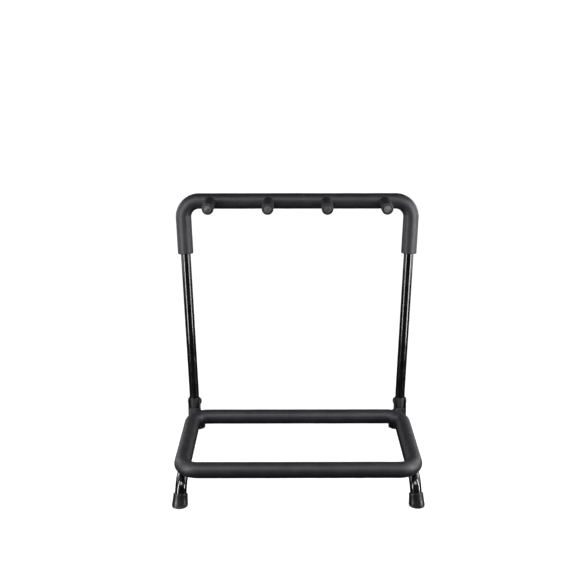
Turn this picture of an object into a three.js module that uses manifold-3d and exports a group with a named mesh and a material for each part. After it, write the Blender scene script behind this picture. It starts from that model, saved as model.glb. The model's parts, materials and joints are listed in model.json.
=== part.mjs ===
// A folding floor rack for three guitars, in millimetres. +Z is up, the guitars face -Y, and the
// origin is on the floor, in the middle of the rack's outline.
//
// Two bent side tubes stand on rubber feet. They carry a padded rectangular loop, which the guitars'
// lower bouts stand on, and a hinge bracket each. A padded upright frame turns in the brackets: its
// top bar carries the necks, and four padded pegs keep them apart. Folded, it lies over the loop.

import * as THREE from 'three';
import { mergeVertices } from 'three/addons/utils/BufferGeometryUtils.js';
import Module from 'manifold-3d';

const wasm = await Module();
wasm.setup();

// ---------------------------------------------------------------- driving dimensions

const GAP = 0.3; // left between pieces that touch
const SIDE_X = 241.5; // from the middle to a side bar, a side tube and a hinge

const TUBE_R = 11; // the loop and the upright frame are 22 mm tube
const TUBE_WALL = 1.2;
const TUBE_BEND_R = 36;

const LOOP_Z = 78;
const LOOP_FRONT_Y = -192;
const LOOP_REAR_Y = 78;
const LOOP_SEAM_Y = -60; // where the loop's two halves and their foams meet
const LOOP_FOAM_R = 16.5;

const SIDE_TUBE_R = 12;
const SIDE_TUBE_Z = 49;
const SIDE_TUBE_BEND_R = 28;
const LEG_TILT = THREE.MathUtils.degToRad(18); // the legs lean out from the vertical
const FOOT_Y = 195; // the feet touch the floor this far before and behind the middle
const FOOT_FRONT_X = 244.5;
const FOOT_REAR_X = 242.5;
const FOOT_HEIGHT = 25;

const PIVOT_Y = 108;
const PIVOT_Z = 105;
const LEAN = THREE.MathUtils.degToRad(4); // the upright frame leans back
const TAIL = 40; // the uprights go on past the pivot by this much
const TOP_Z = 574;
const TOP_X = 257.5; // the uprights spread towards the top
const STRAIGHT_END = 22; // above the pivot the uprights stay parallel for this much

const NECK_FOAM_R = 17.5;
const NECK_FOAM_DROP = 119; // how far the foam comes down each upright

const PEG_COUNT = 4;
const PEG_PITCH = 130;
const PEG_LENGTH = 80; // from the top bar's axis to the peg's end
const PEG_DROOP = THREE.MathUtils.degToRad(3);
const PEG_FOAM_R = 13;
const PEG_CORE_R = 6;

const SIDES = { left: -1, right: 1 };

// ---------------------------------------------------------------- materials

const finish = (color, roughness, metalness) => () =>
  new THREE.MeshStandardMaterial({ color, roughness, metalness });

const glossSteel = finish('#0b0b0d', 0.18, 0.35);
const foam = finish('#37373a', 0.92, 0);
const rubber = finish('#232325', 0.6, 0);
const nylon = finish('#17171a', 0.5, 0);
const zincSteel = finish('#8c8f94', 0.35, 0.9);
const blackSteel = finish('#141416', 0.4, 0.5);

// ---------------------------------------------------------------- geometry helpers

// A route of straight runs joined by round bends. Its stations are only at its ends and along its
// bends, so an extrusion spends no rings on the straight runs.
class BentRoute extends THREE.Curve {
  constructor(points, bendRadii, bendSteps) {
    super();
    this.stations = [];
    const run = (i) => points[i + 1].clone().sub(points[i]).normalize();
    this.addStation(points[0], run(0));
    for (let i = 1; i < points.length - 1; i++) {
      this.addBend(points[i], run(i - 1), run(i), bendRadii[i - 1], bendSteps[i - 1]);
    }
    this.addStation(points.at(-1), run(points.length - 2));
    this.steps = this.stations.length - 1;
  }

  addStation(point, tangent) {
    this.stations.push({ point: point.clone(), tangent: tangent.clone() });
  }

  addBend(corner, before, after, radius, steps) {
    const angle = before.angleTo(after);
    const inward = after.clone().addScaledVector(before, -before.dot(after)).normalize();
    const start = corner.clone().addScaledVector(before, -radius * Math.tan(angle / 2));
    const centre = start.clone().addScaledVector(inward, radius);
    for (let i = 0; i <= steps; i++) {
      const turned = (angle * i) / steps;
      const point = centre.clone()
        .addScaledVector(inward, -radius * Math.cos(turned))
        .addScaledVector(before, radius * Math.sin(turned));
      const tangent = before.clone().multiplyScalar(Math.cos(turned))
        .addScaledVector(inward, Math.sin(turned));
      this.addStation(point, tangent);
    }
  }

  stationAt(u) {
    return this.stations[Math.round(u * this.steps)];
  }

  getPoint(u, target = new THREE.Vector3()) {
    return target.copy(this.stationAt(u).point);
  }

  getTangentAt(u, target = new THREE.Vector3()) {
    return target.copy(this.stationAt(u).tangent);
  }

  getSpacedPoints() {
    return this.stations.map((station) => station.point.clone());
  }
}

const ROUND = 8; // half the number of flats round a tube

function ringShape(outer, inner) {
  const shape = new THREE.Shape().absarc(0, 0, outer, 0, 2 * Math.PI);
  if (inner > 0) shape.holes.push(new THREE.Path().absarc(0, 0, inner, 0, 2 * Math.PI, true));
  return shape;
}

// A pipe along a route. An inner radius of 0 makes it solid.
function pipe(route, outer, inner = 0) {
  return new THREE.ExtrudeGeometry(ringShape(outer, inner), {
    extrudePath: route,
    steps: route.steps,
    curveSegments: ROUND,
    bevelEnabled: false,
  });
}

// A solid turned about Z from [radius, height] pairs.
function turned(profile, segments = 2 * ROUND) {
  return new THREE.LatheGeometry(profile.map(([r, z]) => new THREE.Vector2(r, z)), segments)
    .rotateX(Math.PI / 2);
}

// A plain rod from `from`, along `direction`.
function rod(from, direction, length, radius, segments = 2 * ROUND) {
  return place(turned([[0, 0], [radius, 0], [radius, length], [0, length]], segments), from, direction);
}

// Turns a geometry made along +Z to a direction, and moves it there.
function place(geometry, at, direction = new THREE.Vector3(0, 0, 1)) {
  const turn = new THREE.Quaternion().setFromUnitVectors(new THREE.Vector3(0, 0, 1), direction);
  return geometry.applyQuaternion(turn).translate(at.x, at.y, at.z);
}

function box(low, high) {
  const size = new THREE.Vector3().subVectors(high, low);
  const middle = new THREE.Vector3().addVectors(low, high).multiplyScalar(0.5);
  return new THREE.BoxGeometry(size.x, size.y, size.z).translate(middle.x, middle.y, middle.z);
}

const v = (x, y, z) => new THREE.Vector3(x, y, z);

// ---------------------------------------------------------------- boolean helpers

function toSolid(geometry) {
  const bare = geometry.clone();
  bare.deleteAttribute('normal');
  bare.deleteAttribute('uv');
  const merged = mergeVertices(bare, 1e-4);
  const mesh = new wasm.Mesh({
    numProp: 3,
    vertProperties: new Float32Array(merged.attributes.position.array),
    triVerts: new Uint32Array(merged.index.array),
  });
  return new wasm.Manifold(mesh);
}

function toGeometry(solid) {
  const mesh = solid.getMesh();
  const geometry = new THREE.BufferGeometry();
  geometry.setAttribute('position', new THREE.BufferAttribute(mesh.vertProperties, 3));
  geometry.setIndex(new THREE.BufferAttribute(mesh.triVerts, 1));
  geometry.computeVertexNormals();
  return geometry;
}

function cut(geometry, ...tools) {
  return toGeometry(tools.reduce((solid, tool) => solid.subtract(toSolid(tool)), toSolid(geometry)));
}

function join(geometry, ...others) {
  return toGeometry(others.reduce((solid, other) => solid.add(toSolid(other)), toSolid(geometry)));
}

// ---------------------------------------------------------------- the rack and its pieces

const rack = new THREE.Group();
const baseGroup = new THREE.Group();
const uprightGroup = new THREE.Group();
rack.add(baseGroup, uprightGroup);

function addPiece(group, name, geometry, material) {
  const mesh = new THREE.Mesh(geometry, material());
  mesh.name = name;
  group.add(mesh);
}

const UP = v(0, 0, 1);
const BEND_STEPS = 5;

// ---- side tubes: a front leg, a straight run under the side bar, and a rear leg

const SIDE_TUBE_WALL = 1.5;
const SCREW_YS = { front: -140, rear: 24 }; // the saddles' places along the side bars
const SCREW_HOLE_R = 2.8;
const BOLT_R = 3;
const BOLT_HOLE_R = BOLT_R + GAP;
const LEG_END_Z = 6; // the tube's end stands this far above the floor, inside the foot

// The line of a leg, from the floor upwards, and the corner where it meets the straight run.
function legLine(side, end) {
  const floorX = side * (end < 0 ? FOOT_FRONT_X : FOOT_REAR_X);
  const floor = v(floorX, end * FOOT_Y, 0);
  const corner = v(side * SIDE_X, end * (FOOT_Y - SIDE_TUBE_Z * Math.tan(LEG_TILT)), SIDE_TUBE_Z);
  return { floor, corner, direction: corner.clone().sub(floor).normalize() };
}

function sideTube(side) {
  const front = legLine(side, -1);
  const rear = legLine(side, 1);
  const legEnd = ({ floor, direction }) =>
    floor.clone().addScaledVector(direction, LEG_END_Z / direction.z);
  const route = new BentRoute(
    [legEnd(front), front.corner, rear.corner, legEnd(rear)],
    [SIDE_TUBE_BEND_R, SIDE_TUBE_BEND_R],
    [BEND_STEPS, BEND_STEPS],
  );
  const screwHoles = Object.values(SCREW_YS).map((y) =>
    rod(v(side * SIDE_X, y, SIDE_TUBE_Z - 20), UP, 40, SCREW_HOLE_R, 12));
  const boltHole = rod(v(side * SIDE_X - 20, PIVOT_Y, SIDE_TUBE_Z), v(1, 0, 0), 40, BOLT_HOLE_R, 12);
  return cut(pipe(route, SIDE_TUBE_R, SIDE_TUBE_R - SIDE_TUBE_WALL), ...screwHoles, boltHole);
}

// ---- feet: flared rubber cups on the legs, ground flat where they stand

const FOOT_BORE_R = SIDE_TUBE_R + GAP;
const FOOT_TOP_R = 14.6;
const FOOT_BOTTOM_R = 16.4;
const FOOT_UNDERCUT = 7; // rubber below the floor line, which the flat cut takes off

function foot(side, end) {
  const { floor, direction } = legLine(side, end);
  const boreFloor = (LEG_END_Z - 1.5) / direction.z;
  const cup = turned([
    [0, -FOOT_UNDERCUT],
    [FOOT_BOTTOM_R, -FOOT_UNDERCUT],
    [FOOT_BOTTOM_R, 3],
    [FOOT_TOP_R + 0.4, FOOT_HEIGHT - 1.2],
    [FOOT_TOP_R - 0.8, FOOT_HEIGHT],
    [FOOT_BORE_R, FOOT_HEIGHT],
    [FOOT_BORE_R, boreFloor],
    [0, boreFloor],
  ]);
  const belowFloor = box(v(floor.x - 40, floor.y - 40, -30), v(floor.x + 40, floor.y + 40, 0));
  return cut(place(cup, floor, direction), belowFloor);
}

// ---- the loop: two U-shaped tubes, joined inside the side bars

function loopRoute(barY, endY) {
  return new BentRoute(
    [v(-SIDE_X, endY, LOOP_Z), v(-SIDE_X, barY, LOOP_Z), v(SIDE_X, barY, LOOP_Z), v(SIDE_X, endY, LOOP_Z)],
    [TUBE_BEND_R, TUBE_BEND_R],
    [BEND_STEPS, BEND_STEPS],
  );
}

const LOOP_HALVES = {
  front: { barY: LOOP_FRONT_Y, endY: LOOP_SEAM_Y - GAP },
  rear: { barY: LOOP_REAR_Y, endY: LOOP_SEAM_Y + GAP },
};

const SADDLE = { width: 15, length: 28, low: 56, high: 72 };

function saddleBlock(side, y, clearance) {
  const halfWidth = SADDLE.width / 2 + clearance;
  const halfLength = SADDLE.length / 2 + clearance;
  return box(
    v(side * SIDE_X - halfWidth, y - halfLength, SADDLE.low - clearance),
    v(side * SIDE_X + halfWidth, y + halfLength, SADDLE.high + clearance),
  );
}

function loopTube(end) {
  const { barY, endY } = LOOP_HALVES[end];
  const holes = Object.values(SIDES).map((side) =>
    rod(v(side * SIDE_X, SCREW_YS[end], LOOP_Z - 20), UP, 20, SCREW_HOLE_R, 12));
  return cut(pipe(loopRoute(barY, endY), TUBE_R, TUBE_R - TUBE_WALL), ...holes);
}

function loopFoam(end) {
  const { barY, endY } = LOOP_HALVES[end];
  const windows = Object.values(SIDES).map((side) => saddleBlock(side, SCREW_YS[end], 0.6));
  return cut(pipe(loopRoute(barY, endY), LOOP_FOAM_R, TUBE_R + GAP), ...windows);
}

const JOINER_LENGTH = 60;

function loopJoiner(side) {
  const outer = TUBE_R - TUBE_WALL - GAP;
  const ends = [-JOINER_LENGTH / 2, JOINER_LENGTH / 2].map((y) => v(side * SIDE_X, LOOP_SEAM_Y + y, LOOP_Z));
  return pipe(new BentRoute(ends, [], []), outer, outer - TUBE_WALL);
}

// ---- saddles: blocks between the side tubes and the loop, each with a screw from below

function saddle(side, end) {
  const y = SCREW_YS[end];
  const along = v(0, 1, 0);
  const half = SADDLE.length;
  return cut(
    saddleBlock(side, y, 0),
    rod(v(side * SIDE_X, y - half, LOOP_Z), along, 2 * half, TUBE_R + GAP),
    rod(v(side * SIDE_X, y - half, SIDE_TUBE_Z), along, 2 * half, SIDE_TUBE_R + GAP),
    rod(v(side * SIDE_X, y, SADDLE.low - 5), UP, 30, SCREW_HOLE_R, 12),
  );
}

function saddleScrew(side, end) {
  const headTop = SIDE_TUBE_Z - SIDE_TUBE_R - GAP;
  const shank = LOOP_Z - TUBE_R + 4 - headTop;
  const profile = [[0, -3], [3.4, -3], [5, -1.6], [5, 0], [2.5, 0], [2.5, shank], [0, shank]];
  return place(turned(profile, 12), v(side * SIDE_X, SCREW_YS[end], headTop));
}

// ---- hinge brackets: folded steel, two cheeks with a stop web across their front

const CHEEK = { thickness: 1.2, gap: 24.2, low: 37.5, topRadius: 8.5 };
const WEB = { frontY: 91.8, low: 63, high: 92.5 };
const CHEEK_REAR_Y = 124;

function cheekOutline() {
  const top = PIVOT_Z;
  const r = CHEEK.topRadius;
  const corner = 4;
  const shape = new THREE.Shape();
  shape.moveTo(WEB.frontY + corner, CHEEK.low);
  shape.lineTo(CHEEK_REAR_Y - corner, CHEEK.low);
  shape.absarc(CHEEK_REAR_Y - corner, CHEEK.low + corner, corner, -Math.PI / 2, 0, false);
  shape.lineTo(PIVOT_Y + r, top);
  shape.absarc(PIVOT_Y, top, r, 0, Math.PI, false);
  shape.lineTo(WEB.frontY, WEB.high);
  shape.absarc(WEB.frontY + corner, CHEEK.low + corner, corner, Math.PI, 1.5 * Math.PI, false);
  return shape;
}

// A plate drawn in Y and Z, standing across X from `x` towards +X.
function cheek(x) {
  const plate = new THREE.ExtrudeGeometry(cheekOutline(), {
    depth: CHEEK.thickness, curveSegments: 5, bevelEnabled: false,
  });
  const axes = new THREE.Matrix4().makeBasis(v(0, 1, 0), v(0, 0, 1), v(1, 0, 0));
  return plate.applyMatrix4(axes).translate(x, 0, 0);
}

const HINGE_PIN_R = 4;
const HINGE_HOLE_R = HINGE_PIN_R + GAP;

function hingeBracket(side) {
  const middle = side * SIDE_X;
  const inside = CHEEK.gap / 2;
  const outside = inside + CHEEK.thickness;
  const web = box(
    v(middle - inside - 0.5, WEB.frontY, WEB.low),
    v(middle + inside + 0.5, WEB.frontY + CHEEK.thickness, WEB.high),
  );
  const across = v(1, 0, 0);
  return cut(
    join(cheek(middle - outside), cheek(middle + inside), web),
    rod(v(middle - 30, PIVOT_Y, PIVOT_Z), across, 60, HINGE_HOLE_R, 16),
    rod(v(middle - 30, PIVOT_Y, SIDE_TUBE_Z), across, 60, BOLT_HOLE_R, 12),
  );
}

// ---- bolts across a bracket: the head is on the outer cheek and the nut on the inner one

const PIVOT_BOLT = { radius: HINGE_PIN_R, headRadius: 7, headHeight: 1.6, nutFlats: 12 };
const CLAMP_BOLT = { radius: BOLT_R, headRadius: 5.5, headHeight: 2, nutFlats: 10 };
const nutHeight = (bolt) => 0.65 * bolt.radius;

function crossBolt(side, at, bolt) {
  const { radius, headRadius, headHeight } = bolt;
  const face = CHEEK.gap / 2 + CHEEK.thickness + GAP;
  const tip = -(face + nutHeight(bolt) + 0.8);
  const profile = [
    [0, tip],
    [radius, tip],
    [radius, face],
    [headRadius, face],
    [headRadius, face + headHeight * 0.45],
    [headRadius * 0.6, face + headHeight],
    [0, face + headHeight],
  ];
  return place(turned(profile, 16), v(side * SIDE_X, at.y, at.z), v(side, 0, 0));
}

function crossNut(side, at, bolt) {
  const face = CHEEK.gap / 2 + CHEEK.thickness + GAP;
  const corners = Array.from({ length: 6 }, (_, i) =>
    new THREE.Vector2(bolt.nutFlats / Math.sqrt(3), 0).rotateAround(new THREE.Vector2(), (i * Math.PI) / 3));
  const outline = new THREE.Shape(corners);
  outline.holes.push(new THREE.Path().absarc(0, 0, bolt.radius + GAP, 0, 2 * Math.PI, true));
  const nut = new THREE.ExtrudeGeometry(outline, {
    depth: nutHeight(bolt), curveSegments: 8, bevelEnabled: false,
  });
  return place(nut, v(side * (SIDE_X - face), at.y, at.z), v(-side, 0, 0));
}

// ---- the upright frame, its foam and the pieces at its hinges

const leanUp = v(0, Math.sin(LEAN), Math.cos(LEAN));
const topY = PIVOT_Y + (TOP_Z - PIVOT_Z) * Math.tan(LEAN);
const alongUpright = (side, distance) =>
  v(side * SIDE_X, PIVOT_Y, PIVOT_Z).addScaledVector(leanUp, distance);
const topCorner = (side) => v(side * TOP_X, topY, TOP_Z);

const SMALL_BEND_R = 300;

function uprightTube() {
  const half = (side) => [alongUpright(side, -TAIL), alongUpright(side, STRAIGHT_END), topCorner(side)];
  const route = new BentRoute(
    [...half(-1), ...half(1).reverse()],
    [SMALL_BEND_R, TUBE_BEND_R, TUBE_BEND_R, SMALL_BEND_R],
    [2, BEND_STEPS, BEND_STEPS, 2],
  );
  const hinges = Object.values(SIDES).map((side) =>
    rod(v(side * SIDE_X - 30, PIVOT_Y, PIVOT_Z), v(1, 0, 0), 60, HINGE_HOLE_R, 16));
  return cut(pipe(route, TUBE_R, TUBE_R - TUBE_WALL), ...hinges);
}

const pegDirection = v(0, -Math.cos(PEG_DROOP), -Math.sin(PEG_DROOP));
const pegRoot = (index) => v((index - (PEG_COUNT - 1) / 2) * PEG_PITCH, topY, TOP_Z);
const topBarRod = (radius) => rod(v(-TOP_X, topY, TOP_Z), v(1, 0, 0), 2 * TOP_X, radius, 2 * ROUND);

function neckFoam() {
  const lowEnd = (side) => {
    const down = alongUpright(side, STRAIGHT_END).sub(topCorner(side)).normalize();
    return topCorner(side).addScaledVector(down, NECK_FOAM_DROP);
  };
  const route = new BentRoute(
    [lowEnd(-1), topCorner(-1), topCorner(1), lowEnd(1)],
    [TUBE_BEND_R, TUBE_BEND_R],
    [BEND_STEPS, BEND_STEPS],
  );
  const pegHoles = Array.from({ length: PEG_COUNT }, (_, index) =>
    rod(pegRoot(index), pegDirection, 40, PEG_CORE_R + GAP, 16));
  return cut(pipe(route, NECK_FOAM_R, TUBE_R + GAP), ...pegHoles);
}

// A peg is a tube welded to the top bar, a foam sleeve that butts the bar's foam, and an end cap.
const PEG_BORE_R = PEG_CORE_R - 1;
const CAP_FLANGE = 2.2;
const CAP_R = 7.8;
const CORE_END = PEG_LENGTH - CAP_FLANGE - GAP;

function pegCore(index) {
  const start = 4; // inside the top bar's tube, which the cut takes off
  const profile = [
    [PEG_BORE_R, start],
    [PEG_CORE_R, start],
    [PEG_CORE_R, CORE_END],
    [PEG_BORE_R, CORE_END],
    [PEG_BORE_R, start],
  ];
  return cut(place(turned(profile), pegRoot(index), pegDirection), topBarRod(TUBE_R + GAP));
}

function pegFoam(index) {
  const bore = PEG_CORE_R + GAP;
  const round = 1.2; // the soft edge at the foam's end
  const profile = [
    [bore, 8],
    [PEG_FOAM_R, 8],
    [PEG_FOAM_R, CORE_END - round],
    [PEG_FOAM_R - round, CORE_END],
    [bore, CORE_END],
    [bore, 8],
  ];
  return cut(place(turned(profile), pegRoot(index), pegDirection), topBarRod(NECK_FOAM_R + GAP + 0.2));
}

function pegCap(index) {
  const stem = PEG_BORE_R - GAP;
  const back = CORE_END + GAP;
  const profile = [
    [0, CORE_END - 10],
    [stem - 0.6, CORE_END - 10],
    [stem, CORE_END - 9],
    [stem, back],
    [CAP_R, back],
    [CAP_R, back + 0.8],
    [CAP_R - 1.6, back + 1.7],
    [0, back + CAP_FLANGE],
  ];
  return place(turned(profile), pegRoot(index), pegDirection);
}

// The liner is a plastic sleeve that keeps the upright from rattling between the cheeks.
const LINER_WALL = 0.5;
const LINER_TOP = 9.5; // above the pivot

function pivotLiner(side) {
  const inner = TUBE_R + GAP;
  const outer = inner + LINER_WALL;
  const profile = [[inner, -TAIL], [outer, -TAIL], [outer, LINER_TOP], [inner, LINER_TOP], [inner, -TAIL]];
  const sleeve = place(turned(profile), alongUpright(side, 0), leanUp);
  return cut(sleeve, rod(v(side * SIDE_X - 30, PIVOT_Y, PIVOT_Z), v(1, 0, 0), 60, HINGE_HOLE_R, 16));
}

const PLUG_LENGTH = 11;

function uprightPlug(side) {
  const flange = 1.5;
  const stem = TUBE_R - TUBE_WALL - GAP;
  const profile = [
    [0, 0],
    [TUBE_R - 0.8, 0],
    [TUBE_R, 0.8],
    [TUBE_R, flange],
    [stem, flange],
    [stem, PLUG_LENGTH],
    [0, PLUG_LENGTH],
  ];
  return place(turned(profile), alongUpright(side, -TAIL - flange - GAP), leanUp);
}

// ---------------------------------------------------------------- assembly

for (const end of ['front', 'rear']) {
  addPiece(baseGroup, `${end}_loop_tube`, loopTube(end), glossSteel);
  addPiece(baseGroup, `${end}_loop_foam`, loopFoam(end), foam);
}

for (const [name, side] of Object.entries(SIDES)) {
  addPiece(baseGroup, `loop_joiner_${name}`, loopJoiner(side), zincSteel);
  addPiece(baseGroup, `side_tube_${name}`, sideTube(side), glossSteel);
  addPiece(baseGroup, `hinge_bracket_${name}`, hingeBracket(side), blackSteel);
  for (const end of ['front', 'rear']) {
    addPiece(baseGroup, `foot_${end}_${name}`, foot(side, end === 'front' ? -1 : 1), rubber);
    addPiece(baseGroup, `saddle_${end}_${name}`, saddle(side, end), nylon);
    addPiece(baseGroup, `saddle_screw_${end}_${name}`, saddleScrew(side, end), zincSteel);
  }
  const pivot = { y: PIVOT_Y, z: PIVOT_Z };
  const clamp = { y: PIVOT_Y, z: SIDE_TUBE_Z };
  addPiece(baseGroup, `pivot_bolt_${name}`, crossBolt(side, pivot, PIVOT_BOLT), blackSteel);
  addPiece(baseGroup, `pivot_nut_${name}`, crossNut(side, pivot, PIVOT_BOLT), blackSteel);
  addPiece(baseGroup, `bracket_bolt_${name}`, crossBolt(side, clamp, CLAMP_BOLT), blackSteel);
  addPiece(baseGroup, `bracket_nut_${name}`, crossNut(side, clamp, CLAMP_BOLT), blackSteel);
}

addPiece(uprightGroup, 'upright_frame', uprightTube(), glossSteel);
addPiece(uprightGroup, 'neck_foam', neckFoam(), foam);
for (const [name, side] of Object.entries(SIDES)) {
  addPiece(uprightGroup, `pivot_liner_${name}`, pivotLiner(side), nylon);
  addPiece(uprightGroup, `upright_plug_${name}`, uprightPlug(side), nylon);
}
for (let index = 0; index < PEG_COUNT; index++) {
  addPiece(uprightGroup, `peg_core_${index + 1}`, pegCore(index), glossSteel);
  addPiece(uprightGroup, `peg_foam_${index + 1}`, pegFoam(index), foam);
  addPiece(uprightGroup, `peg_cap_${index + 1}`, pegCap(index), rubber);
}

export default rack;
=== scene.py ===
# %% [markdown]
# # A padded floor rack for three guitars
#
# The rack is bent steel tube. Two side tubes stand on rubber feet and carry a loop that is covered
# in foam. Behind the loop an upright frame turns in two steel brackets, and its top bar has foam and
# four padded pegs. A CAD model already fixes every size and every place. This lesson builds the
# surfaces that people see and touch, in metres, in the CAD model's own frame.

# %% Load the CAD frame
import json
import math

import bmesh
import bpy
from mathutils import Matrix, Vector, noise


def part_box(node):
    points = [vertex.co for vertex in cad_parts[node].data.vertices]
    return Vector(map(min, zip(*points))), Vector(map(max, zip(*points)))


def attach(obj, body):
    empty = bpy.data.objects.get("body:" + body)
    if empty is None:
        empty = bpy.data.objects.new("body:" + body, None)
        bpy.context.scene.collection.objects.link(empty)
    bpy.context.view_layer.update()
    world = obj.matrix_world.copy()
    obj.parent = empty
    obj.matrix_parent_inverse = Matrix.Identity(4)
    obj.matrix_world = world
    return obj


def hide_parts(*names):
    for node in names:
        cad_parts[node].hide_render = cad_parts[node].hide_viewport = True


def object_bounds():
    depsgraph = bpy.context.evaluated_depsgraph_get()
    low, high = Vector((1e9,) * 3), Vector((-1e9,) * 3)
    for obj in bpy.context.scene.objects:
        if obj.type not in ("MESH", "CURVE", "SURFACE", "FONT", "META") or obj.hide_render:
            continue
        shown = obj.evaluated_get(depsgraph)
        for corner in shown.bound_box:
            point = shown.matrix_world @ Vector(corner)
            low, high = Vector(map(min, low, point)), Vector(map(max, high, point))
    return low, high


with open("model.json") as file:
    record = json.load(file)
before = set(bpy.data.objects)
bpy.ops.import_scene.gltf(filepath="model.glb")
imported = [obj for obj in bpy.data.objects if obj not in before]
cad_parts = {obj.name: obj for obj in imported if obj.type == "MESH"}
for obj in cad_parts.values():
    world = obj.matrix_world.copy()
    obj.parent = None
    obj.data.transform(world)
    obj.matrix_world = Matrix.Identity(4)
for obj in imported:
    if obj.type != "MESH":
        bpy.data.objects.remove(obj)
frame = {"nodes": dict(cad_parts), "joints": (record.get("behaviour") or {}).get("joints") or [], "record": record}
cad_low, cad_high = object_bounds()
print("CAD box, millimetres:", [round(1000 * side, 1) for side in cad_high - cad_low])

# %% [markdown]
# ## Measure before making
#
# A maker measures the frame before cutting a sleeve for it. Each tube's radius is half its height in
# the CAD box of a flat-lying tube, and its line lies one radius inside that box. Only what a box can't
# show, such as a wall or a bend, is a number of its own.

# %% Measure the tubes, the foam and the hinge
MM = 0.001
X, Y, Z = (Vector(axis) for axis in ((1, 0, 0), (0, 1, 0), (0, 0, 1)))
SIDES = {"left": -1, "right": 1}
ENDS = {"front": -1, "rear": 1}


def span(node, axis):
    low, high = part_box(node)
    return high[axis] - low[axis]


tube_radius = span("front_loop_tube", 2) / 2
tube_wall = 1.2 * MM
tube_bend = 36 * MM
loop_foam_radius = span("front_loop_foam", 2) / 2
loop_low, loop_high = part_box("front_loop_tube")
side_x = loop_high.x - tube_radius
loop_z = loop_high.z - tube_radius
loop_bar_y = {"front": loop_low.y + tube_radius, "rear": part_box("rear_loop_tube")[1].y - tube_radius}
seam_y = {"front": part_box("front_loop_foam")[1].y, "rear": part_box("rear_loop_foam")[0].y}

pivot = Vector(frame["joints"][0]["pos_m"])
pivot_hole_radius = 4.3 * MM
bracket_hole_radius = 3.3 * MM
screw_hole_radius = 2.8 * MM
top_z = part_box("upright_frame")[1].z - tube_radius
neck_foam_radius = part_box("neck_foam")[1].z - top_z
top_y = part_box("neck_foam")[1].y - neck_foam_radius
top_x = 257.5 * MM
lean_up = Vector((0, top_y - pivot.y, top_z - pivot.z)).normalized()
fit_gap = 0.3 * MM
print("tube and foam radii:", [round(r / MM, 2) for r in (tube_radius, loop_foam_radius, neck_foam_radius)])
print("frame leans back by", round(math.degrees(math.asin(lean_up.y)), 2), "degrees")

# %% [markdown]
# ## Effects that several finishes share
#
# Every surface here collects dust, and all but the gloss paint share one fine grain. A shader node
# group makes such an effect once. Each material then places the group with its own numbers. A group
# gives only masks and heights, and the shader stays in the material. The patterns read object
# coordinates, in metres, so a scale of 1000 is a grain of about one millimetre.

# %% Helpers for nodes
def add(tree, kind, links=None, **settings):
    """Adds a node. Settings go on sockets where a socket has that name, and else on the node."""
    node = tree.nodes.new(kind)
    for name, value in settings.items():
        socket = node.inputs.get(name.replace("_", " ").title())
        if socket is None:
            setattr(node, name, value)
        else:
            socket.default_value = value
    for name, source in (links or {}).items():
        tree.links.new(source, node.inputs[name])
    return node


def stretch(tree, value, low, high, to_low=0.0, to_high=1.0):
    """Maps a value from low..high to another range, and stops at its ends."""
    node = add(tree, "ShaderNodeMapRange", {"Value": value}, clamp=True)
    for name, number in (("From Min", low), ("From Max", high), ("To Min", to_low), ("To Max", to_high)):
        node.inputs[name].default_value = number
    return node.outputs["Result"]


def combine(tree, operation, first, second):
    """A Math node on two sockets or numbers."""
    node = add(tree, "ShaderNodeMath", operation=operation)
    for socket, value in zip(node.inputs, (first, second)):
        if isinstance(value, bpy.types.NodeSocket):
            tree.links.new(value, socket)
        else:
            socket.default_value = value
    return node.outputs[0]


def blend_colours(tree, mask, first, second):
    """Goes from the first colour to the second as the mask goes from 0 to 1."""
    node = add(tree, "ShaderNodeMix", data_type="RGBA")
    tree.links.new(mask, node.inputs[0])
    for socket, value in ((node.inputs[6], first), (node.inputs[7], second)):
        if isinstance(value, bpy.types.NodeSocket):
            tree.links.new(value, socket)
        else:
            socket.default_value = (*value, 1)
    return node.outputs[2]


def new_group(name, inputs, outputs):
    """An empty shader group with number inputs, a Vector input and number outputs."""
    group = bpy.data.node_groups.new(name, "ShaderNodeTree")
    group.interface.new_socket("Vector", in_out="INPUT", socket_type="NodeSocketVector")
    for label, value in inputs.items():
        socket = group.interface.new_socket(label, in_out="INPUT", socket_type="NodeSocketFloat")
        socket.default_value = value
    for label in outputs:
        group.interface.new_socket(label, in_out="OUTPUT", socket_type="NodeSocketFloat")
    return group, group.nodes.new("NodeGroupInput").outputs, group.nodes.new("NodeGroupOutput").inputs


# %% [markdown]
# **Grain.** A moulded or sprayed surface is never smooth. Three sizes of noise make it: cells for the
# pores or pebbles, a fine noise inside them, and a broad one that varies the colour from place to
# place. An image of the grain could do this too, but it would need a UV map and would repeat.

# %% The grain group
def make_grain():
    results = ("Height", "Pits", "Mottle")
    group, given, result = new_group("fine_grain", {"Scale": 1000, "Pores": 0.5}, results)
    vector = given["Vector"]
    cells = add(group, "ShaderNodeTexVoronoi", {"Vector": vector, "Scale": given["Scale"]})
    fine = add(group, "ShaderNodeTexNoise", {"Vector": vector, "Scale": given["Scale"]}, detail=3)
    broad = add(group, "ShaderNodeTexNoise", {"Vector": vector}, scale=38, detail=4, roughness=0.6)
    pits = stretch(group, cells.outputs["Distance"], 0.34, 0.08)
    weighted = combine(group, "MULTIPLY", pits, given["Pores"])
    height = combine(group, "SUBTRACT", fine.outputs[0], weighted)
    group.links.new(height, result["Height"])
    group.links.new(weighted, result["Pits"])
    group.links.new(stretch(group, broad.outputs[0], 0.32, 0.68), result["Mottle"])
    return group


grain = make_grain()
print("group", grain.name, "gives", [s.name for s in grain.nodes["Group Output"].inputs if s.name])

# %% [markdown]
# **Dust and rubbing.** Dust settles on faces that look up, in patches. Rubbing wears the edges that
# stand out, and Geometry's Pointiness finds them: it is above one half where a surface is convex.

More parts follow.
